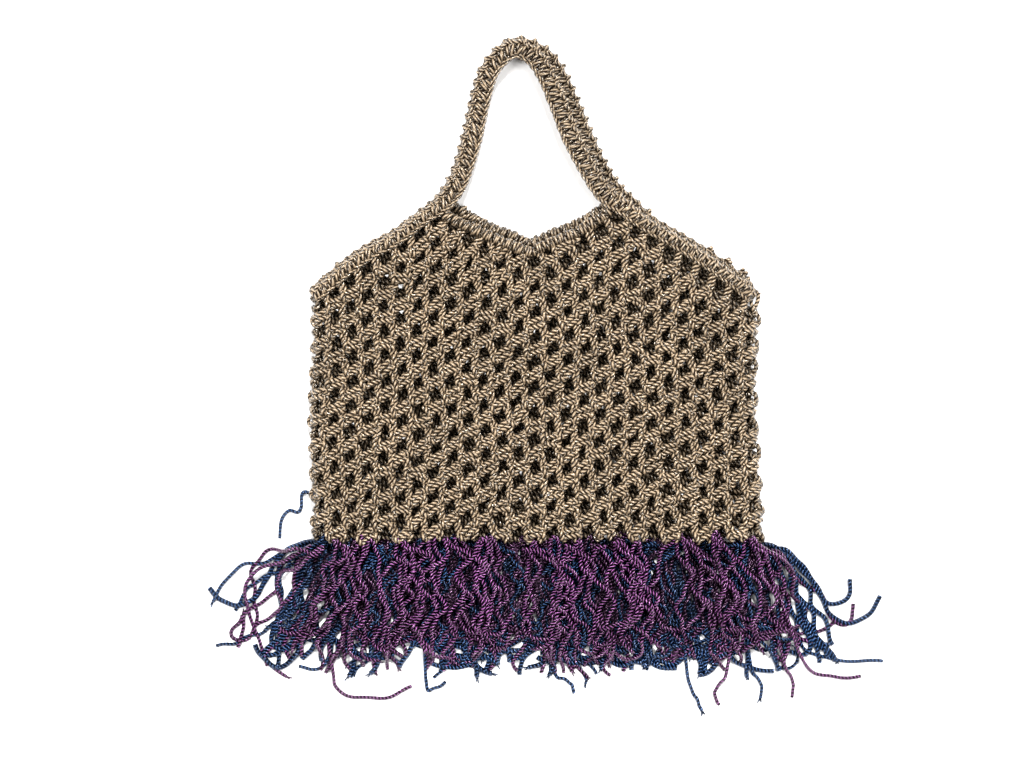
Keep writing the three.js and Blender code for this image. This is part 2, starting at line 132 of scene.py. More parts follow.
finishes = {
    # Laid nylon, undyed sand: a hard white glint on each ply's crown; painted brown-black shade in the
    # grooves, painted light on the crests
    "laid nylon sand": {
        "groove": "#030201", "flank": "#1E160E", "crown": "#574736", "crest": "#9C886F",
        "stops": (0.26, 0.66), "roughness": 0.22, "shine": "#FFF6E8", "bump": 0.0016,
        "slot": "sand_cord",
    },
    # Laid nylon dyed purple: pink glints; near-black painted shade in the grooves, painted light on the
    # crests
    "laid nylon purple": {
        "groove": "#000000", "flank": "#030103", "crown": "#16081A", "crest": "#8B4A89",
        "stops": (0.48, 0.94), "roughness": 0.2, "shine": "#F7C4F2", "bump": 0.0012,
        "slot": "purple_cord",
    },
    # Laid nylon dyed navy: the same lay, with a cold blue glint, painted groove shade and painted crest
    # light
    "laid nylon navy": {
        "groove": "#000000", "flank": "#010204", "crown": "#060E20", "crest": "#2E5486",
        "stops": (0.48, 0.94), "roughness": 0.2, "shine": "#A9C6FF", "bump": 0.0012,
        "slot": "navy_cord",
    },
}
sand, purple, navy = finishes

# What the three share: the gloss of nylon, fibres across and along a ply with the height they add,
# and patches of tone over the bag
nylon = {
    "gloss": 0.95,
    "index": 1.53,
    "fibresAcross": 26,
    "fibresAlong": 2.5,
    "fibreHeight": 0.22,
    "patches": 34.0,
    "patchRange": (0.3, 0.7),
    "toneRange": (0.8, 1.14),
}


# Two plies laid up: height = |sin(2 pi (u - v))|, u once round the cord and v one for each full
# turn of the lay, with fine fibres along each ply. The colour ramp over that height paints shade
# in the grooves and light on the ply crowns. Then a slow change of tone over the bag, and painted
# shade from each point's shade value, darker for cords that lie under others or inside the bag
def cordFinish(name):
    look = finishes[name]
    material = bpy.data.materials.new(name)
    material.use_nodes = True
    tree = material.node_tree
    shader = tree.nodes["Principled BSDF"]
    shader.inputs["Roughness"].default_value = look["roughness"]
    shader.inputs["Specular IOR Level"].default_value = nylon["gloss"]
    shader.inputs["IOR"].default_value = nylon["index"]
    shader.inputs["Specular Tint"].default_value = linear(look["shine"])

    lay = addNode(tree, "ShaderNodeUVMap", {"uv_map": "lay"}, {})
    split = addNode(tree, "ShaderNodeSeparateXYZ", {}, {0: lay.outputs[0]})
    strand = addNode(tree, "ShaderNodeMath", {"operation": "SUBTRACT"},
                     {0: split.outputs[0], 1: split.outputs[1]})
    turn = addNode(tree, "ShaderNodeMath", {"operation": "MULTIPLY", 1: 2 * math.pi},
                   {0: strand.outputs[0]})
    wave = addNode(tree, "ShaderNodeMath", {"operation": "SINE"}, {0: turn.outputs[0]})
    ply = addNode(tree, "ShaderNodeMath", {"operation": "ABSOLUTE"}, {0: wave.outputs[0]})

    across = addNode(tree, "ShaderNodeMath", {"operation": "MULTIPLY", 1: nylon["fibresAcross"]},
                     {0: strand.outputs[0]})
    along = addNode(tree, "ShaderNodeMath", {"operation": "MULTIPLY", 1: nylon["fibresAlong"]},
                    {0: split.outputs[1]})
    hairs = addNode(tree, "ShaderNodeCombineXYZ", {}, {0: across.outputs[0], 1: along.outputs[0]})
    fibre = addNode(tree, "ShaderNodeTexNoise", {"Scale": 1.0, "Detail": 2.0},
                    {"Vector": hairs.outputs[0]})
    amount = nylon["fibreHeight"]
    height = addNode(tree, "ShaderNodeMath", {"operation": "MULTIPLY_ADD", 1: amount, 2: -amount / 2},
                     {0: fibre.outputs["Fac"]})
    relief = addNode(tree, "ShaderNodeMath", {"operation": "ADD"},
                     {0: ply.outputs[0], 1: height.outputs[0]})

    # Painted shade and light: the ramp darkens the grooves between plies and lightens their crowns
    ramp = addNode(tree, "ShaderNodeValToRGB", {}, {0: relief.outputs[0]})
    flank, crown = look["stops"]
    stops = [(0.0, "groove"), (flank, "flank"), (crown, "crown"), (1.0, "crest")]
    while len(ramp.color_ramp.elements) < len(stops):
        ramp.color_ramp.elements.new(0.5)
    for element, (place, colour) in zip(ramp.color_ramp.elements, stops):
        element.position = place
        element.color = linear(look[colour])

    place = addNode(tree, "ShaderNodeTexCoord", {}, {})
    patch = addNode(tree, "ShaderNodeTexNoise", {"Scale": nylon["patches"], "Detail": 3.0},
                    {"Vector": place.outputs["Object"]})
    low, high = nylon["patchRange"]
    dull, bright = nylon["toneRange"]
    tone = addNode(tree, "ShaderNodeMapRange", {1: low, 2: high, 3: dull, 4: bright},
                   {0: patch.outputs["Fac"]})
    # Painted shade: the point's shade value darkens the colour
    shade = addNode(tree, "ShaderNodeAttribute", {"attribute_name": "shade"}, {})
    value = addNode(tree, "ShaderNodeMath", {"operation": "MULTIPLY"},
                    {0: tone.outputs[0], 1: shade.outputs["Fac"]})
    tinted = addNode(tree, "ShaderNodeHueSaturation", {},
                     {"Value": value.outputs[0], "Color": ramp.outputs[0]})
    bump = addNode(tree, "ShaderNodeBump", {"Strength": 1.0, "Distance": look["bump"]},
                   {"Height": relief.outputs[0]})
    tree.links.new(tinted.outputs[0], shader.inputs["Base Color"])
    tree.links.new(bump.outputs[0], shader.inputs["Normal"])
    return material


materials = {name: cordFinish(name) for name in finishes}
print("finishes made:", len(materials))


# Weights of a Catmull-Rom curve as a matrix: row s holds each control point's share at step s,
# with a point mirrored past either end
def splineWeights(count, steps):
    t = np.linspace(0, count - 1, steps)
    i = np.minimum(t.astype(int), count - 2)
    f = t - i
    shares = np.stack([
        -0.5 * f ** 3 + f ** 2 - 0.5 * f,
        1.5 * f ** 3 - 2.5 * f ** 2 + 1,
        -1.5 * f ** 3 + 2 * f ** 2 + 0.5 * f,
        0.5 * f ** 3 - 0.5 * f ** 2,
    ], axis=1)
    padded = np.zeros((steps, count + 2))
    rows = np.arange(steps)
    for k in range(4):
        padded[rows, i + k] += shares[:, k]
    weights = padded[:, 1:-1].copy()
    weights[:, 0] += 2 * padded[:, 0]
    weights[:, 1] -= padded[:, 0]
    weights[:, -1] += 2 * padded[:, -1]
    weights[:, -2] -= padded[:, -1]
    return weights


# Smooth curves through control points: (cords, controls, 3) to (cords, steps, 3)
def smoothRoutes(controls, steps):
    return np.einsum("sc,ncd->nsd", splineWeights(controls.shape[1], steps), controls)


# Each vector over its own length
def unit(vectors):
    return vectors / np.maximum(np.linalg.norm(vectors, axis=-1, keepdims=True), 1e-9)


# 0 to 1 with no corner at either end: t t (3 - 2 t)
def ease(t):
    t = np.clip(t, 0, 1)
    return t * t * (3 - 2 * t)


# A direction that no cord starts along, to square its first section to
askew = [0.31, 0.27, 0.91]


# Round sections carried along many routes at once: point = route + radius (n cos a + b sin a),
# where n is kept square to the route from step to step and b = tangent x n.
# Returns points, the shade of each, and loops of quads and end caps with the lay of each corner
def cordSurface(routes, radius, sides, turn, shade=1.0):
    cords, steps, _ = routes.shape
    tangents = unit(np.gradient(routes, axis=1))
    normals = [unit(np.cross(tangents[:, 0], askew))]
    for step in range(1, steps):
        carried = normals[-1]
        t = tangents[:, step]
        normals.append(unit(carried - np.sum(carried * t, axis=1, keepdims=True) * t))
    n = np.stack(normals, axis=1)
    b = np.cross(tangents, n)
    angle = np.arange(sides) / sides * 2 * math.pi
    r = np.broadcast_to(np.asarray(radius, float), (cords, 1))[:, :, None, None]
    ring = n[:, :, None] * np.cos(angle)[None, None, :, None]
    ring = ring + b[:, :, None] * np.sin(angle)[None, None, :, None]
    points = (routes[:, :, None] + r * ring).reshape(-1, 3)

    lengths = np.linalg.norm(np.diff(routes, axis=1), axis=2)
    v = np.concatenate([np.zeros((cords, 1)), np.cumsum(lengths, axis=1)], axis=1) / turn
    index = np.arange(cords * steps * sides).reshape(cords, steps, sides)
    here, after = index[:, :-1], index[:, 1:]
    quads = np.stack([here, np.roll(here, -1, 2), np.roll(after, -1, 2), after], axis=-1)
    u = np.broadcast_to(np.arange(sides) / sides, here.shape)
    v0 = np.broadcast_to(v[:, :-1, None], here.shape)
    v1 = np.broadcast_to(v[:, 1:, None], here.shape)
    quadLay = np.stack([
        np.stack([u, v0], -1), np.stack([u + 1 / sides, v0], -1),
        np.stack([u + 1 / sides, v1], -1), np.stack([u, v1], -1),
    ], axis=-2)
    caps = np.stack([index[:, 0, ::-1], index[:, -1]], axis=1)
    capLay = np.zeros((cords, 2, sides, 2))
    capLay[..., 0] = np.arange(sides) / sides
    capLay[:, 1, :, 1] = v[:, -1, None]
    return {
        "points": points,
        "shade": np.repeat(np.broadcast_to(shade, (cords, steps)).reshape(-1), sides),
        "loops": [
            (quads.reshape(-1), 4, quadLay.reshape(-1, 2)),
            (caps.reshape(-1), sides, capLay.reshape(-1, 2)),
        ],
    }


# One piece from several batches of cords, as one mesh with its place in its vertices:
# each batch's corners are counted on from the points of those before it
def cordPiece(name, batches, finish, nodes):
    points, indices, starts, lays = [], [], [], []
    offset, start = 0, 0
    for batch in batches:
        for corners, size, lay in batch["loops"]:
            indices.append(corners + offset)
            starts.append(np.arange(len(corners) // size) * size + start)
            lays.append(lay)
            start += len(corners)
        points.append(batch["points"])
        offset += len(batch["points"])
    points = np.concatenate(points) * mm
    indices = np.concatenate(indices)
    starts = np.concatenate(starts)
    lays = np.concatenate(lays)
    shades = np.concatenate([batch["shade"] for batch in batches])

    mesh = bpy.data.meshes.new(name)
    mesh.vertices.add(len(points))
    mesh.vertices.foreach_set("co", points.astype(np.float32).ravel())
    mesh.loops.add(len(indices))
    mesh.loops.foreach_set("vertex_index", indices.astype(np.int32))
    mesh.polygons.add(len(starts))
    mesh.polygons.foreach_set("loop_start", starts.astype(np.int32))
    mesh.update(calc_edges=True)
    mesh.polygons.foreach_set("use_smooth", np.ones(len(starts), bool))
    layer = mesh.uv_layers.new(name="lay")
    layer.data.foreach_set("uv", lays.astype(np.float32).ravel())
    attribute = mesh.attributes.new("shade", "FLOAT", "POINT")
    attribute.data.foreach_set("value", shades.astype(np.float32))
    mesh.materials.append(materials[finish])
    mesh.update()

    piece = bpy.data.objects.new(name, mesh)
    bpy.context.scene.collection.objects.link(piece)
    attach(piece, "root")
    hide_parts(*nodes)
    triangles = len(indices) - 2 * len(starts)
    print(f"{name}: {triangles} triangles")


# Centrelines of bands and rims: x, y, half width and the height of the underside.
# The back ones lie on the table and the front ones over them
frontBand = np.array([
    (-197.5, 67, 6.6, 14.4), (-159.4, 98.2, 6.6, 14.8), (-125.4, 117.7, 6.6, 15),
    (-105, 133.9, 6.6, 15), (-89.5, 144.9, 8.4, 14.2), (-79.5, 157.7, 9.6, 12.6),
    (-71.8, 174.7, 9.6, 10.4), (-63.3, 203.6, 9.6, 9.9), (-54.8, 242.7, 9.6, 9.9),
    (-46.3, 263.9, 9.6, 9.9), (-29, 278.5, 9.6, 9.9), (-12, 273, 9.6, 9.9),
    (0.4, 256.3, 9.6, 9.9), (11.5, 229.9, 9.6, 9.9), (21.7, 203.6, 9.6, 9.9),
    (37, 174.7, 9.6, 10.4), (50.6, 154.3, 9.6, 12.8), (66.7, 142.4, 8.4, 14.2),
    (86.3, 127.1, 6.6, 15), (121.1, 106.7, 6.6, 15), (160.2, 79.5, 6.6, 14.8),
    (174.5, 65.5, 6.6, 14.4),
])

backBand = np.array([
    (-199.5, 69.5, 6.6, 0), (-161, 101.6, 6.6, 0), (-127, 121.1, 6.6, 0), (-106.7, 136.4, 6.6, 0),
    (-91, 147.5, 8.4, 0), (-81.2, 159.4, 9.6, 0), (-72.7, 176.4, 9.6, 0), (-65, 203.6, 9.6, 0),
    (-55.7, 242.7, 9.6, 0), (-46.5, 266, 9.6, 0), (-27.6, 281.4, 9.6, 0), (-7.2, 277, 9.6, 0),
    (8.1, 261.4, 9.6, 0), (22.5, 229.9, 9.6, 0), (33.6, 203.6, 9.6, 0), (46.3, 176.4, 9.6, 0),
    (59.1, 157.7, 9.6, 0), (72.7, 145.8, 8.4, 0), (88.8, 131.3, 6.6, 0), (123.7, 110.9, 6.6, 0),
    (162.8, 83.7, 6.6, 0), (176.5, 68, 6.6, 0),
])

frontRim = np.array([
    (-86, 136, 5.2, 14.6), (-77.2, 131, 5.2, 14.6), (-55.2, 121.4, 5.2, 14.6),
    (-36.5, 112.8, 5.2, 14.6), (-23.4, 107.9, 5.2, 14.6), (-13.5, 105, 5.2, 14.6),
    (-0.7, 110.6, 5.2, 14.6), (13.2, 116, 5.2, 14.6), (25.9, 121.6, 5.2, 14.6),
    (40, 130.2, 5.2, 14.6), (53, 140, 5.2, 14.6),
])

backRim = np.array([
    (-80, 145, 5.2, 0), (-71, 139.7, 5.2, 0), (-57.6, 131.4, 5.2, 0), (-41.4, 123.9, 5.2, 0),
    (-26.8, 118.6, 5.2, 0), (-13.8, 112.4, 5.2, 0), (3.4, 120.4, 5.2, 0), (19.6, 126.6, 5.2, 0),
    (31.9, 131.8, 5.2, 0), (42, 138.4, 5.2, 0), (56, 149, 5.2, 0),
])

# The wraps: one cord in rings round the cores, drawn together between the knobs
wrap = {
    "seed": 41,
    "cord": 1.6,
    "sides": 6,
    "middle": 4.7,
    "rise": 3.7,
    "pitch": 3.5,
    "ringSteps": 14,
    "ringTurn": 14.0,
    "ringEnd": 0.5,
    "swellUp": 0.5,
    "group": 0.95,
    "floorGap": 1.8,
    # The back band and rim take painted shade, as they lie under the front ones; the front's shade only
    # dulls its colour evenly
    "frontShade": 0.88,
    "backPaintedShade": 0.7,
}

# The cores' shade is painted shade, so that the gaps between the rings read dark
coreCords = {"cord": 2.0, "sides": 5, "step": 3, "parts": (-0.28, 0, 0.28), "shade": 0.25}

# Cords along a band's edges. Each pair under up is a cord's mean height and its swing
edgeCords = {
    "turn": 7.6,
    "end": 0.3,
    "knobCord": 1.8,
    "knobPitch": 9.75,
    "knobStep": 0.85,
    "knobUp": (0.2, 1.4),
    "chainStep": 1.5,
    "chainPhase": 2.2,
    "chainLag": 0.6,
    "chainUp": (2.5, 0.9),
    "twistUp": (0.8, 1.5),
}

# What changes from slope to handle, at half widths 6.6 and 9.6
bandShape = {
    "halves": (6.6, 9.6),
    "bars": (3.6, 4.2),
    "barShift": (-0.1, -1.3),
    "knob": (0.7, 1.5),
    "knobSlip": (1.0, 1.6),
    "chain": (3.2, 4.6),
    "innerTwist": (0.5, 0.9),
}

# How uneven the handwork is along a band: a new value every so many millimetres, and its spread
uneven = {
    "lean": (14, 0.13),
    "bunch": (3.1, 0.35),
    "swell": (4.3, 0.35),
    "knobPhase": (21, 0.7),
    "knobSize": (9.8, 0.14),
    "chain": (8, 0.35),
    "twist": (12, 0.5),
}

# How far the rings lean along the band, and the bump spacing inside it, by share of its length
bandLean = {"at": (0, 0.2, 0.28, 0.42, 0.5, 1), "lean": (0.35, 0.35, 0.5, 0.45, 0.05, -0.05)}
innerPeriod = {"at": (0, 0.45, 0.6, 1), "period": (11.6, 11.6, 18.2, 18.2)}


# Length, place, left normal, half width and height along a band's smooth centreline
def bandLine(table):
    dense = smoothRoutes(table[None], 900)[0]
    step = np.linalg.norm(np.diff(dense[:, :2], axis=0), axis=1)
    along = np.concatenate([[0], np.cumsum(step)])
    tangent = unit(np.gradient(dense[:, :2], axis=0))
    normal = np.stack([-tangent[:, 1], tangent[:, 0]], axis=1)
    half = np.clip(dense[:, 2], table[:, 2].min(), table[:, 2].max())
    low = np.clip(dense[:, 3], table[:, 3].min(), table[:, 3].max())
    return along, np.column_stack([dense[:, :2], normal, half, low])


# From band measures to place: centreline(along) + normal(along) across, low(along) + up,
# pressed flat where it would sink into the table
def bandPlace(line, along, across, up):
    distance, rows = line
    x, y, nx, ny, _, low = [np.interp(along, distance, rows[:, k]) for k in range(6)]
    over = along - np.clip(along, 0, distance[-1])
    height = np.maximum(low + up, wrap["floorGap"])
    return np.stack([x + nx * across + ny * over, y + ny * across - nx * over, height], axis=-1)


# A slow random wander along a length: one draw every few millimetres, joined by straight lines
def wander(along, every, amount, rng):
    posts = np.arange(along.min() - every, along.max() + 2 * every, every)
    return np.interp(along, posts, rng.normal(0, amount, len(posts)))


# Even steps along a band, with its half width and its shape there, by straight lines between
# the shapes of the two half widths
def bandSteps(line, step):
    distance, rows = line
    end = edgeCords["end"]
    along = np.linspace(end, distance[-1] - end, int(distance[-1] / step))
    half = np.interp(along, distance, rows[:, 4])
    shape = {key: np.interp(half, bandShape["halves"], pair) for key, pair in bandShape.items()}
    return along, half, shape


# The rings: across = bars cos a, up = middle + rise sin a, leaning along the band and bunched
# between its knobs. A rim's rings are as wide as the rim and stand square to it
def ringRoute(line, rng, edged):
    distance, rows = line
    length = distance[-1]
    turns = int(length / wrap["pitch"])
    a = np.linspace(0, turns * 2 * math.pi, turns * wrap["ringSteps"])
    centre = length * a / a[-1]
    half = np.interp(centre, distance, rows[:, 4])
    bars, shift = [np.interp(half, bandShape["halves"], bandShape[key]) for key in ("bars", "barShift")]
    lean = np.interp(centre / length, bandLean["at"], bandLean["lean"])
    if not edged:
        bars, shift, lean = half - wrap["cord"], 0 * half, 0 * half
    lean = lean + wander(centre, *uneven["lean"], rng)
    bunch = wander(centre, *uneven["bunch"], rng)
    bunch = bunch - wrap["group"] * np.sin(2 * math.pi * centre / edgeCords["knobPitch"])
    swell = wander(centre, *uneven["swell"], rng)
    across = (bars + swell) * np.cos(a)
    up = wrap["middle"] + (wrap["rise"] + wrap["swellUp"] * swell) * np.sin(a)
    place = np.clip(centre + bunch + lean * across, wrap["ringEnd"], length - wrap["ringEnd"])
    return bandPlace(line, place, across + shift, up)


# Straight cores inside the wraps, side by side: across = part of the half width
def coreRoutes(line):
    along, half, _ = bandSteps(line, coreCords["step"])
    level = wrap["middle"] + 0 * along
    return np.stack([bandPlace(line, along, part * half, level) for part in coreCords["parts"]])


# The outer edge's cord, which curls into a knob at each knot: along - slip sin a, across + knob cos a
def knobRoute(line, rng):
    along, half, shape = bandSteps(line, edgeCords["knobStep"])
    a = 2 * math.pi * along / edgeCords["knobPitch"] + wander(along, *uneven["knobPhase"], rng)
    size = 1 + wander(along, *uneven["knobSize"], rng)
    reach = half - edgeCords["knobCord"] - shape["knob"] * (1 - size * np.cos(a))
    slip = np.clip(along - size * shape["knobSlip"] * np.sin(a), 0, line[0][-1])
    mean, swing = edgeCords["knobUp"]
    return bandPlace(line, slip, reach, wrap["middle"] + mean + swing * np.sin(a))


# A chain inside the knobs, one cord on each face: across = chain + sin a, up = mean + swing cos a
def chainRoutes(line, rng):
    along, _, shape = bandSteps(line, edgeCords["chainStep"])
    a = 2 * math.pi * along / edgeCords["knobPitch"] + edgeCords["chainPhase"]
    chain = shape["chain"] + np.sin(a) + wander(along, *uneven["chain"], rng)
    mean, swing = edgeCords["chainUp"]
    lift = mean + swing * np.cos(a + edgeCords["chainLag"])
    return [bandPlace(line, along, chain, wrap["middle"] + face * lift) for face in (1, -1)]


# The inner edge's pair, each half a turn behind the other: across + twist cos a, up + swing sin a,
# where a grows by a full turn for each period
def twistRoutes(line, rng):
    along, half, shape = bandSteps(line, edgeCords["chainStep"])
    period = np.interp(along / line[0][-1], innerPeriod["at"], innerPeriod["period"])
    a = np.cumsum(2 * math.pi / period) * (along[1] - along[0]) + wander(along, *uneven["twist"], rng)
    mean, swing = edgeCords["twistUp"]
    routes = []
    for phase in (0, math.pi):
        reach = half - wrap["cord"] - shape["innerTwist"] * (1 - np.cos(a + phase))
        lift = wrap["middle"] + mean + swing * np.sin(a + phase)
        routes.append(bandPlace(line, along, -reach, lift))
    return routes


# A band is rings wound round cores. An edged one also has the knobs, the chain and the twisted pair
def wrappedBand(line, rng, edged, shade):
    cord, sides, turn = wrap["cord"], wrap["sides"], edgeCords["turn"]
    batches = [
        cordSurface(ringRoute(line, rng, edged)[None], cord, sides, wrap["ringTurn"], shade),
        cordSurface(coreRoutes(line), coreCords["cord"], coreCords["sides"], turn, coreCords["shade"]),
    ]
    if edged:
        knobs = knobRoute(line, rng)[None]
        batches.append(cordSurface(knobs, edgeCords["knobCord"], sides, turn, shade))
        for route in chainRoutes(line, rng) + twistRoutes(line, rng):
            batches.append(cordSurface(route[None], cord, sides, turn, shade))
    return batches


rng = np.random.default_rng(wrap["seed"])
frontLine, backLine = bandLine(frontBand), bandLine(backBand)
frontRimLine, backRimLine = bandLine(frontRim), bandLine(backRim)
for piece, node, line, edged, shade in (
    ("front_wrapped_handle", "front_handle", frontLine, True, wrap["frontShade"]),
    ("back_wrapped_handle", "back_handle", backLine, True, wrap["backPaintedShade"]),
    ("front_wrapped_rim", "front_neck_rim", frontRimLine, False, wrap["frontShade"]),
    ("back_wrapped_rim", "back_neck_rim", backRimLine, False, wrap["backPaintedShade"]),
):
    cordPiece(piece, wrappedBand(line, rng, edged, shade), sand, [node])
print("bands wound")


# The lattice of knots, laid round a flattened tube of two straight faces and two half circles
net = {
    "columns": 27,
    "pitch": 28.2,
    "rowStep": 10.8,
    "rows": 28,
    "firstRow": -134,
    "straight": 360.1,
    "left": -190.6,
    "radius": 6.55,
    "middle": 11.25,
    "bandMargin": 10.0,
    "rimMargin": 7.0,
    "backRimMargin": 8.0,
    "backMargin": 4.0,
}
net["startShift"] = net["straight"] / 2 % net["pitch"]

# How a knot is tied, and how far its turn, shift, size, points and cords stray from knot to knot
tie = {
    "turn": 7.6,
    "tilt": 0.34,
    "tiltSpread": 0.2,
    "shiftSpread": 0.85,
    "sizeSpread": 0.05,
    "pointSpread": 0.55,
    "pointUp": 0.6,
    "cordSpread": 0.03,
    "relief": 1.2,
    "coreSteps": 8,
    "floorGap": 1.05,
}

# Slack in the front face: the height, middle and half size of its crown, and a ripple over it
slack = {
    "crown": 3.0, "x": -10.5, "y": -20, "wide": 180, "long": 130,
    "ripple": 0.3, "rippleX": 0.05, "rippleY": 0.06, "rippleSkew": 0.02,
}

# How the pouch lies: columns and rows that sway, a bulge low on the right, and rows that rise
lie = {
    "sway": 1.3, "columnSway": (0.043, 0.031), "rowSway": (0.047, 0.029), "rowPhase": 1.3,
    "bulge": 5, "bulgeX": -10, "bulgeWide": 190, "bulgeY": -78, "bulgeLong": 62,
    "riseY": -140, "riseLong": 130,
}

# How far the rows lie above level, by place across the bag
rowRise = {"x": (-203, -107, -14, 80, 183), "rise": (0, -2.9, 3.6, 7.4, 10.5)}

# Where the slopes end below the handles, and how near a rim's ends the knots pass from slope to rim
neck = {"slopeTop": 146, "left": 10, "right": 16, "leftTuck": 6, "rightTuck": 8}

# A square knot in its own frame, out of the bag being up: two working cords, a core for either
# side of the front's knots and a closer one for the back's
knotCords = {
    "over": [
        (-8.2, 3.9, 0), (-6.9, 3.0, -0.4), (-3.6, 2.5, 1.4), (0.2, 2.7, 2.9), (4.6, 3.1, 2.5),
        (7.6, 2.5, 0.6), (8.3, 0, -0.4), (6.6, -2.2, 0.8), (2.8, -1.7, 2.8), (-1.8, -1.9, 2.8),
        (-5.4, -2.8, 1.1), (-8.2, -3.9, 0),
    ],
    "under": [
        (8.2, 3.9, 0), (7.2, 3.9, 2.6), (5.2, 1.9, 0.8), (1.9, 0.8, -2.8), (-2.8, 1.4, -2.8),
        (-5.9, 2.8, -0.5), (-7.0, 3.3, 2.4), (-7.2, 0, 3.5), (-6.8, -3.1, 2.4), (-5.5, -3.3, -0.6),
        (-1.9, -2.2, -2.8), (2.8, -2.4, -2.8), (5.9, -2.4, -0.5), (7.1, -3.2, 1.9), (8.2, -3.9, 0),
    ],
    "core": [(-5.9, 6.9, 0), (-3.1, 4.0, 0.1), (-1.9, 0, 0), (-3.1, -4.0, 0.1), (-5.9, -6.9, 0)],
    "closeCore": [(-5.9, 6.9, 0), (-1.9, 4.4, 0.1), (-1.7, 0, 0), (-1.9, -4.4, 0.1), (-5.9, -6.9, 0)],
}

# The back's knots are fuller, and darkened with painted shade as the inside of the bag lies in shadow;
# they cover the floor behind the holes of the front
frontFace = {
    "cord": 2.0, "steps": 27, "sides": 6, "core": "core", "shade": 1,
    "size": (1, 1), "shift": 0, "loose": 1,
}
backFace = {
    "cord": 2.25, "steps": 22, "sides": 5, "core": "closeCore", "shade": 0.5,
    "size": (1.26, 1.5), "shift": 0.3, "loose": 0.5,
}


# Slack in the front face: a low crown, 1 - (distance from its middle / half size) ^ 2 each way,
# and two slow sine waves
def frontLift(x, y):
    across = np.clip(1 - ((x - slack["x"]) / slack["wide"]) ** 2, 0, 1)
    along = np.clip(1 - ((y - slack["y"]) / slack["long"]) ** 2, 0, 1)
    ripple = np.sin(x * slack["rippleX"] + 1) + np.sin(y * slack["rippleY"] + x * slack["rippleSkew"])
    return slack["crown"] * across * along + slack["ripple"] * ripple * across


# From the flat lattice to the lying bag: s runs once round the pouch, y up it, w out of it.
# On the faces x follows s, on the half circles x = radius sin a and z = radius cos a, and then
# the lying bag's sway, bulge, rise and slack are added
def pouchPlace(s, y, w):
    straight, radius = net["straight"], net["radius"]
    arc = math.pi * radius
    s = np.mod(s, 2 * (straight + arc))
    rightTurn = np.clip((s - straight) / radius, 0, math.pi)
    leftTurn = np.clip((s - 2 * straight - arc) / radius, 0, math.pi)
    onFront = np.clip(s, 0, straight)
    onBack = np.clip(s - straight - arc, 0, straight)
    angle = rightTurn + leftTurn
    x = net["left"] + onFront - onBack + (radius + w) * np.sin(angle)
    z = net["middle"] + (radius + w) * np.cos(angle)
    front = (s < straight) * 1.0
    alongY, alongX = lie["columnSway"]
    x = x + lie["sway"] * np.sin(y * alongY + x * alongX)
    low = np.clip((lie["bulgeY"] - y) / lie["bulgeLong"], 0, 1)
    bulge = low * np.clip((x - lie["bulgeX"]) / lie["bulgeWide"], 0, 1)
    x = x + lie["bulge"] * bulge
    high = np.clip((y - lie["riseY"]) / lie["riseLong"], 0, 1)
    rise = np.interp(x, rowRise["x"], rowRise["rise"]) * high
    alongX, alongY = lie["rowSway"]
    lifted = y + rise + lie["sway"] * np.sin(x * alongX - y * alongY + lie["rowPhase"])
    return np.stack([x, lifted, z + front * frontLift(x, lifted)], axis=-1)


# The y of band or rim at a place across the bag: left slope, rim and right slope end to end,
# joined by straight lines. The second result says where the rim is what hangs the net
def topEdge(x, bandRows, rimRows):
    slopes = bandRows[bandRows[:, 1] < neck["slopeTop"]]
    left = slopes[slopes[:, 0] < rimRows[0, 0] - neck["left"]]
    right = slopes[slopes[:, 0] > rimRows[-1, 0] + neck["right"]]
    line = np.concatenate([left[:, :2], rimRows[:, :2], right[:, :2]])
    underRim = (x > rimRows[0, 0] + neck["leftTuck"]) & (x < rimRows[-1, 0] - neck["rightTuck"])
    return np.interp(x, line[:, 0], line[:, 1]), underRim


# Knots in rows, each row half a pitch on from the last, kept where they lie a margin below the
# band or rim
def latticeKnots():
    row, column = np.meshgrid(np.arange(net["rows"]), np.arange(net["columns"]), indexing="ij")
    s = (column + 0.5 * (row % 2)) * net["pitch"] + net["startShift"]
    y = net["firstRow"] + row * net["rowStep"]
    place = pouchPlace(s, y, 0 * s)
    onFront = place[..., 2] > net["middle"]
    frontTop, frontUnderRim = topEdge(place[..., 0], frontLine[1], frontRimLine[1])
    backTop, backUnderRim = topEdge(place[..., 0], backLine[1], backRimLine[1])
    frontMargin = np.where(frontUnderRim, net["rimMargin"], net["bandMargin"])
    backMargin = np.where(backUnderRim, net["backRimMargin"], net["backMargin"])
    top = np.where(onFront, frontTop, backTop)
    kept = place[..., 1] < top - np.where(onFront, frontMargin, backMargin)
    return s, y, row, column, kept, onFront, top


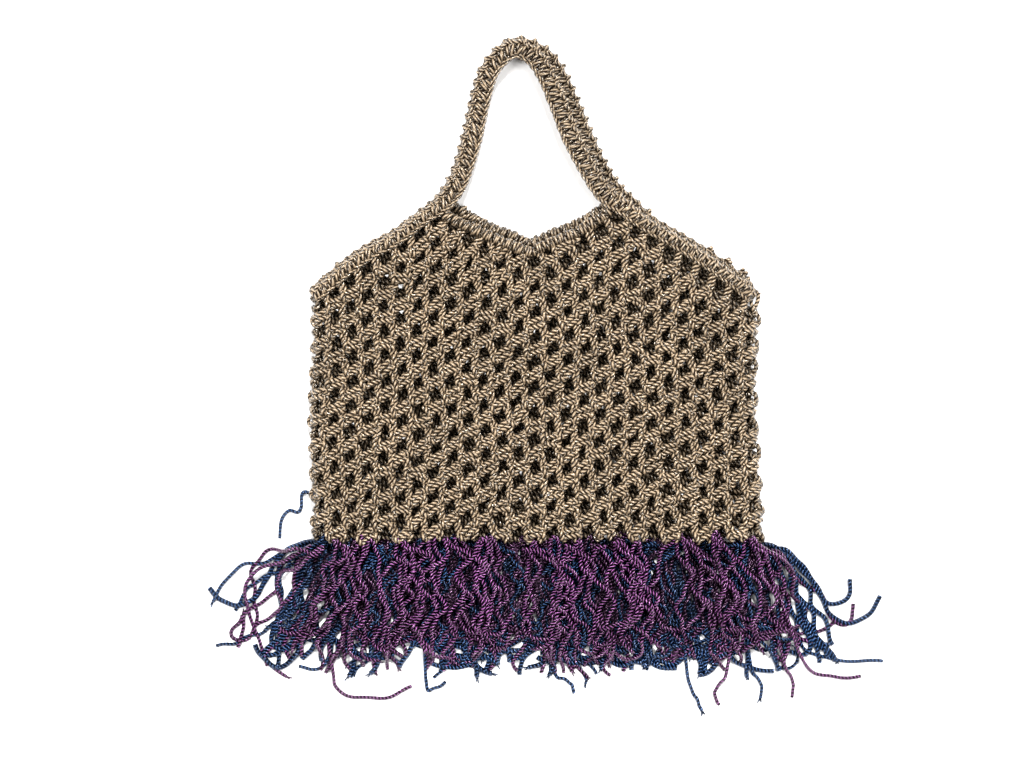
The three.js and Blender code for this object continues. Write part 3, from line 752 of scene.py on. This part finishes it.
# The four cords of many knots at once. A knot's points are turned, stretched and shifted together
# and jittered one by one, all but the two ends of a cord, which meet the next knot's, and are
# then laid on the pouch
def tieKnots(s, y, seed, face):
    rng = np.random.default_rng(seed)
    count, steps = len(s), face["steps"]
    turn = tie["tilt"] + rng.normal(0, tie["tiltSpread"], (count, 1))
    shift = face["loose"] * rng.normal(0, tie["shiftSpread"], (count, 1, 2)) + (0, face["shift"])
    size = 1 + rng.normal(0, tie["sizeSpread"], (count, 1))
    core = (face["core"], tie["coreSteps"])
    cords = (("over", steps, 1), ("under", steps + 2, 1), (*core, 1), (*core, -1))
    batches = []
    for name, cordSteps, mirror in cords:
        local = np.array(knotCords[name], float) * (mirror, 1, 1)
        jitter = rng.normal(0, tie["pointSpread"], (count, len(local), 3))
        inner = np.ones(len(local))
        inner[[0, -1]] = 0
        angle = turn * inner
        x = local[:, 0] * np.cos(angle) - local[:, 1] * np.sin(angle)
        yLocal = local[:, 0] * np.sin(angle) + local[:, 1] * np.cos(angle)
        grow = 1 + (size - 1) * inner
        wide, tall = [1 + (part - 1) * inner for part in face["size"]]
        x = x * grow * wide + (shift[..., 0] + jitter[..., 0]) * inner
        yLocal = yLocal * grow * tall + (shift[..., 1] + jitter[..., 1]) * inner
        w = tie["relief"] * local[:, 2] + tie["pointUp"] * jitter[..., 2] * inner
        controls = np.stack([s[:, None] + x, y[:, None] + yLocal, w], axis=-1)
        routes = smoothRoutes(controls, cordSteps)
        placed = pouchPlace(routes[..., 0], routes[..., 1], routes[..., 2])
        placed[..., 2] = np.maximum(placed[..., 2], face["cord"] * tie["floorGap"])
        radius = face["cord"] * (1 + rng.normal(0, tie["cordSpread"], (count, 1)))
        batches.append(cordSurface(placed, radius, face["sides"], tie["turn"], face["shade"]))
    return batches


hanger = {
    "seed": 7, "cord": 1.95, "sides": 6, "steps": 7,
    "reach": 3.5, "reachSpread": 1.5, "sink": 3, "rise": 2, "bow": 0.3, "lift": 0.8,
}


# Short cords from the top knots up into the band or rim above them: from the knot's cord ends to
# a place a little aside, by way of a point bowed out from halfway
def hangers(s, y, top, side, rng):
    batches = []
    for cord in ("over", "core"):
        x0, y0, _ = knotCords[cord][0]
        begin = pouchPlace(s - side * x0, y + y0, 0 * s)
        reach = hanger["reach"] + rng.uniform(-hanger["reachSpread"], hanger["reachSpread"], len(s))
        reach = side * reach * np.sign(begin[:, 2] - net["middle"])
        end = begin.copy()
        end[:, 0] += reach
        end[:, 1] = np.maximum(top + rng.uniform(-hanger["sink"], 0, len(s)), begin[:, 1] + hanger["rise"])
        bend = (begin + end) / 2
        bend[:, 0] += hanger["bow"] * reach
        bend[:, 2] += hanger["lift"]
        routes = smoothRoutes(np.stack([begin, bend, end], axis=1), hanger["steps"])
        batches.append(cordSurface(routes, hanger["cord"], hanger["sides"], tie["turn"]))
    return batches


# Stretches of the back's rim and slopes that its top knots are tied over: from x, to x, below y
holder = {"offsets": (0.6, 4.4, 8.2), "height": 4.2, "cord": 2.1, "sides": 6, "every": 12}
holders = (
    (backRimLine, -90, 60, 150),
    (backLine, -210, -92, 140),
    (backLine, 78, 190, 140),
)


# Three straight cords along the lower edge of a stretch: across = -half width - offset
def holderCords(line, left, right, top):
    distance, rows = line
    x, y = rows[:, 0], rows[:, 1]
    along = distance[(x > left) & (x < right) & (y < top)][::holder["every"]]
    half = np.interp(along, distance, rows[:, 4])
    level = holder["height"] + 0 * along
    routes = np.stack([bandPlace(line, along, -half - offset, level) for offset in holder["offsets"]])
    # The holder cords take the back face's painted shade
    return cordSurface(routes, holder["cord"], holder["sides"], tie["turn"], backFace["shade"])


s, y, row, column, kept, onFront, top = latticeKnots()
leftColumn = np.where(row % 2 == 0, column - 1, column) % net["columns"]
rightColumn = (leftColumn + 1) % net["columns"]
above = np.minimum(row + 1, net["rows"] - 1)
noLeft = kept & ~kept[above, leftColumn]
noRight = kept & ~kept[above, rightColumn]

frontKnots, backKnots = kept & onFront, kept & ~onFront
upperKnots, lowerKnots = frontKnots & (y >= 0), frontKnots & (y < 0)
rng = np.random.default_rng(hanger["seed"])
upper = tieKnots(s[upperKnots], y[upperKnots], 11, frontFace)
lower = tieKnots(s[lowerKnots], y[lowerKnots], 12, frontFace)
back = tieKnots(s[backKnots], y[backKnots], 13, backFace)
for missing, side in ((noLeft, -1), (noRight, 1)):
    for face, batches in ((onFront, upper), (~onFront, back)):
        pick = missing & face
        batches.extend(hangers(s[pick], y[pick], top[pick], side, rng))
for line, left, right, below in holders:
    back.append(holderCords(line, left, right, below))
cordPiece("net_front_upper", upper, sand, ["net_pouch"])
cordPiece("net_front_lower", lower, sand, ["net_pouch"])
cordPiece("net_back", back, sand, ["net_pouch"])
print("net knotted:", int(frontKnots.sum()), "knots in front,", int(backKnots.sum()), "behind")


# The fringe: bundles of folded cords along the hem, and the heap they lie in past it
fringe = {
    "left": -197,
    "right": 183,
    "rootY": -145.5,
    "bundles": 14,
    "heapDepth": 104,
    "heapHalf": 226,
    "sides": 5,
    "turn": 6.2,
}
fringe["middle"] = (fringe["left"] + fringe["right"]) / 2

# A folded cord's head: half width, how it lies in its bundle, and the loop over the hem
head = {
    "wide": 2.0, "wideSpread": (-0.4, 1.4), "up": 3, "bundleFall": 0.04, "ySpread": 2, "least": 6,
    "fan": 0.035, "part": 0.25, "loopSteps": 12, "loopUp": 1.5,
    "lean": 6, "leanSpread": 2, "leanMost": 8,
}

# A tail: lean from the middle and more at the sides, waves of heading as period and size, a curl at
# the end of some, how it settles on the heap, and how it rides up and down over others.
# Lengths of run-in are in millimetres, curlFrom and curlOver in shares of the tail
tail = {
    "steps": 50,
    "halfWidth": 190, "lean": 0.14, "sideLean": 0.2, "sideFrom": 0.85, "sideOver": 0.15,
    "leanSpread": 0.13, "fanOver": 45,
    "waves": (((40, 76), (0.25, 0.85)), ((18, 30), (0.1, 0.4))), "wavesOver": 14,
    "curl": 3.4, "curled": 0.5, "curlFrom": 0.55, "curlOver": 0.5,
    "settleOver": 85, "edgeOver": 16,
    "ride": 1.8, "ridePeriod": (22, 40), "ridePhase": 6, "rideHeap": 6, "rideOver": 12,
}

# Painted shade in the heap: how far inside its edges it begins and over what length, each cord's
# own share, the share at the floor and the height that it grows over, and the value past the heap
cover = {
    "endIn": 22, "sideIn": 14, "over": 22, "own": (0.5, 1.15),
    "floor": 0.25, "from": 3, "height": 15, "past": 0.7,
}

# A cut end that has parted into its two plies
frayed = {
    "share": 0.3, "ply": 0.62, "sides": 4, "steps": 5, "turn": 3.0, "shade": 0.5,
    "part": (0.4, 1.8), "reach": (0.4, 1.1), "length": 5, "bend": 0.6, "root": 1.2,
}

# Layers from the floor up, each folded over the hem: how many, where they lie and how far they hang
# Each layer's shade is painted shade, darkest for the lowest layers in the heap
layers = [
    {"colour": navy, "heads": 84, "cord": 2.3, "shade": 0.3, "top": (2, 5), "length": (110, 150),
     "drop": (76, 108), "low": (0, 1), "head": (6, 11), "spread": 14, "fan": 0.22, "sway": 0.5,
     "seed": 3},
    {"colour": purple, "heads": 66, "cord": 1.95, "shade": 0.42, "top": (4, 9), "length": (105, 140),
     "drop": (70, 108), "low": (1, 4), "head": (4, 8), "spread": 11, "fan": 0.25, "sway": 0.9,
     "seed": 5},
    {"colour": navy, "heads": 24, "cord": 1.6, "shade": 1.1, "top": (8, 12), "length": (110, 165),
     "drop": (64, 114), "low": (2, 6), "head": (2, 6), "spread": 9, "fan": 0.4, "sway": 1,
     "seed": 4},
    {"colour": purple, "heads": 33, "cord": 1.8, "shade": 1.1, "top": (15, 22), "length": (105, 150),
     "drop": (62, 110), "low": (8, 13), "head": (2, 8), "spread": 7.5, "fan": 0.28, "sway": 1,
     "seed": 6},
]


# How tails head: down + lean + fan + two sine waves of arc length + a curl that grows to the end
def tailHeading(x, arc, share, fan, sway, rng):
    count = len(x)
    offset = (x - fringe["middle"]) / tail["halfWidth"]
    outside = ease((np.abs(offset) - tail["sideFrom"]) / tail["sideOver"])
    lean = tail["lean"] * offset + tail["sideLean"] * np.sign(offset) * outside
    lean = lean + rng.normal(0, tail["leanSpread"], count)
    heading = -math.pi / 2 + lean[:, None] + fan[:, None] * (1 - ease(arc / tail["fanOver"]))
    for periods, sizes in tail["waves"]:
        period = rng.uniform(*periods, (count, 1))
        size = rng.uniform(*sizes, (count, 1)) * sway
        phase = rng.uniform(0, 2 * math.pi, (count, 1))
        wave = size * np.sin(2 * math.pi * arc / period + phase)
        heading = heading + wave * ease(arc / tail["wavesOver"])
    curl = rng.uniform(-tail["curl"], tail["curl"], (count, 1))
    curl = curl * (rng.random((count, 1)) < tail["curled"])
    return heading + curl * ease((share - tail["curlFrom"]) / tail["curlOver"])


# Tails of one layer: place = running sum of the heading's unit vector, drawn in where it would hang
# too far, and a height that eases down over the heap and to the floor past its edge
def tails(x, y, z, fan, layer, rng):
    steps, radius, count = tail["steps"], layer["cord"], len(x)
    length = rng.uniform(*layer["length"], count)
    share = np.linspace(0, 1, steps)[None]
    arc = share * length[:, None]
    heading = tailHeading(x, arc, share, fan, layer["sway"], rng)
    step = length[:, None] / (steps - 1)
    dx = np.cumsum(np.cos(heading) * step, axis=1)
    dy = np.cumsum(np.sin(heading) * step, axis=1)
    px = x[:, None] + dx - dx[:, :1]
    fall = dy - dy[:, :1]
    deepest = rng.uniform(*layer["drop"], (count, 1))
    py = y[:, None] + fall * deepest / np.maximum(-fall.min(axis=1, keepdims=True), deepest)
    low = rng.uniform(*layer["low"], (count, 1))
    settled = ease((fringe["rootY"] - py) / tail["settleOver"])
    heap = low + (z[:, None] - radius - low) * (1 - settled)
    heap = heap * ease((py - fringe["rootY"] + fringe["heapDepth"]) / tail["edgeOver"])
    heap = heap * ease((fringe["heapHalf"] - np.abs(px - fringe["middle"])) / tail["edgeOver"])
    period = rng.uniform(*tail["ridePeriod"], (count, 1))
    phase = rng.uniform(0, tail["ridePhase"], (count, 1))
    ride = tail["ride"] * np.sin(2 * math.pi * arc / period + phase)
    pz = radius + heap + ride * ease(heap / tail["rideHeap"]) * ease(arc / tail["rideOver"])
    return np.stack([px, py, np.maximum(pz, radius)], axis=-1)


# Painted shade: cords low in the heap are darkened as if in its shadow, ends clear of it are not:
# shade = the layer's times a share that grows with height, blended to one value past the heap's edge
def paintedHeapShade(routes, layer, rng):
    x, y, z = routes[..., 0], routes[..., 1], routes[..., 2]
    covered = ease((y - fringe["rootY"] + fringe["heapDepth"] - cover["endIn"]) / cover["over"])
    inside = fringe["heapHalf"] - cover["sideIn"] - np.abs(x - fringe["middle"])
    covered = covered * ease(inside / cover["over"])
    own = rng.uniform(*cover["own"], (len(routes), 1))
    rise = cover["floor"] + (1 - cover["floor"]) * ease((z - cover["from"]) / cover["height"])
    return layer["shade"] * own * rise * covered + cover["past"] * own * (1 - covered)


# Two plies that part at a cut end, one to each side: from inside the cord, by way of a point half
# as far out, down to the table
def frayedEnds(routes, rng):
    routes = routes[rng.random(len(routes)) < frayed["share"]]
    end = routes[:, -1]
    heading = unit(routes[:, -1] - routes[:, -3])
    side = np.stack([-heading[:, 1], heading[:, 0], 0 * heading[:, 0]], axis=1)
    batches = []
    for spread in (-1, 1):
        part = spread * rng.uniform(*frayed["part"], (len(end), 1))
        reach = rng.uniform(*frayed["reach"], (len(end), 1)) * frayed["length"]
        half = end + heading * reach * 0.5 + side * part * frayed["bend"]
        half[:, 2] = np.maximum(half[:, 2], frayed["ply"])
        tip = end + heading * reach + side * part
        tip[:, 2] = frayed["ply"]
        start = end - heading * frayed["root"]
        plies = smoothRoutes(np.stack([start, half, tip], axis=1), frayed["steps"])
        batches.append(cordSurface(plies, frayed["ply"], frayed["sides"], frayed["turn"], frayed["shade"]))
    return batches


# A row of cords folded in half over the hem: tail up, a loop over the edge, tail down.
# They leave each mesh of the hem in a bundle, its middle highest, and fan out below it
def foldedCords(layer):
    rng = np.random.default_rng(layer["seed"])
    count = layer["heads"]
    pitch = (fringe["right"] - fringe["left"]) / fringe["bundles"]
    bundle = np.floor(np.linspace(0, fringe["bundles"], count, endpoint=False))
    away = rng.normal(0, layer["spread"], count)
    x = fringe["left"] + (bundle + 0.5) * pitch + away
    x = np.clip(x, fringe["left"], fringe["right"])
    y = fringe["rootY"] + head["up"] - head["bundleFall"] * away ** 2
    y = y + rng.normal(0, head["ySpread"], count)
    y = np.maximum(y, fringe["rootY"] - head["least"])
    z = rng.uniform(*layer["top"], count)
    wide = head["wide"] + rng.uniform(*head["wideSpread"], count)
    tall = rng.uniform(*layer["head"], count)
    fan = head["fan"] * away + rng.normal(0, layer["fan"], count)
    first = tails(x - wide, y, z, fan - head["part"], layer, rng)
    second = tails(x + wide, y, z, fan + head["part"], layer, rng)
    turn = np.linspace(0, math.pi, head["loopSteps"])[None, 1:-1]
    lean = head["lean"] * fan[:, None] + rng.normal(0, head["leanSpread"], (count, 1))
    lean = np.clip(lean, -head["leanMost"], head["leanMost"])
    loop = np.stack([
        x[:, None] - wide[:, None] * np.cos(turn) - lean * np.sin(turn),
        y[:, None] + tall[:, None] * np.sin(turn),
        z[:, None] + head["loopUp"] * np.sin(turn) + 0 * lean,
    ], axis=-1)
    routes = np.concatenate([first[:, ::-1], loop, second], axis=1)
    shade = paintedHeapShade(routes, layer, rng)
    batches = [cordSurface(routes, layer["cord"], fringe["sides"], fringe["turn"], shade)]
    return batches + frayedEnds(routes, rng) + frayedEnds(routes[:, ::-1], rng)


stray = {
    "seed": 19, "cord": 1.65, "sides": 6, "steps": 48, "shade": 0.85,
    "ripple": 0.8, "waves": 22, "phase": 6, "rippleIn": 4,
}

# Loose cords that stray past the fringe: colour and route, each point with the height of its underside
strays = [
    (navy, [(-200, -144.5, 0), (-222, -151, 0), (-243, -160, 0), (-262, -163, 0), (-277, -179, 0),
            (-285.3, -193, 0)]),
    (navy, [(-198, -148, 0), (-217, -162, 0), (-240, -172, 0), (-255, -182, 0), (-266, -201, 0)]),
    (purple, [(-200, -144.5, 12), (-224, -158, 11), (-246, -166, 7), (-257, -180, 6.5),
              (-254, -203, 2), (-246, -224, 0), (-239, -244, 0), (-222, -257, 0)]),
    (navy, [(186, -146, 0), (199, -174, 0), (212, -206, 0), (222, -235, 0), (252, -243, 0),
            (287.9, -244.5, 0)]),
    (purple, [(186, -146, 12), (193, -176, 12), (206, -208, 11), (217, -240, 7), (230, -254, 0),
              (248, -258, 0), (269, -257, 0)]),
    (purple, [(-186, -228, 6), (-182, -253, 3), (-179, -268, 0), (-162, -275, 0), (-137, -275, 0),
              (-115, -266, 0)]),
    (navy, [(-104, -232, 3), (-103, -258, 0), (-100, -269, 0), (-86, -262, 0)]),
    (navy, [(6, -230, 3), (8, -255, 0), (20, -262, 0), (24, -271, 0)]),
    (navy, [(118, -232, 3), (122, -262, 0), (129, -277, 0), (133, -287, 0)]),
    (purple, [(158, -228, 6), (153, -256, 3), (144, -270, 0), (148, -282, 0)]),
    (navy, [(172, -228, 3), (176, -252, 0), (184, -264, 0), (183, -276, 0)]),
    (purple, [(198, -226, 6), (204, -248, 3), (211, -262, 0), (210, -275, 0)]),
    (navy, [(-192, -142, 7), (-193, -120, 7), (-197, -103, 5), (-204, -99.5, 2), (-209, -102, 0),
            (-209.5, -111, 0), (-213, -117.5, 0), (-220.6, -115.5, 0), (-226.5, -123, 0),
            (-228, -140, 0)]),
]


# Strays of one finish: the listed route with a small sine ripple, no lower than the cord is
# thick, and two tries at a frayed end
def strayCords(finish, rng):
    batches = []
    share = np.linspace(0, 1, stray["steps"])
    for colour, table in strays:
        if colour != finish:
            continue
        route = smoothRoutes(np.array(table, float)[None] + (0, 0, stray["cord"]), stray["steps"])
        ripple = stray["ripple"] * np.sin(share * stray["waves"] + rng.uniform(0, stray["phase"]))
        route[0, :, 1] += ripple * ease(share * stray["rippleIn"])
        route[0, :, 2] = np.maximum(route[0, :, 2], stray["cord"])
        batches.append(cordSurface(route, stray["cord"], stray["sides"], fringe["turn"], stray["shade"]))
        batches.extend(frayedEnds(np.repeat(route, 2, axis=0), rng))
    return batches


for piece, finish, node in (("purple_fringe", purple, "fringe_purple"),
                            ("navy_fringe", navy, "fringe_navy")):
    rng = np.random.default_rng(stray["seed"])
    batches = strayCords(finish, rng)
    for layer in layers:
        if layer["colour"] == finish:
            batches.extend(foldedCords(layer))
    cordPiece(piece, batches, finish, [node])
print("fringe tied")
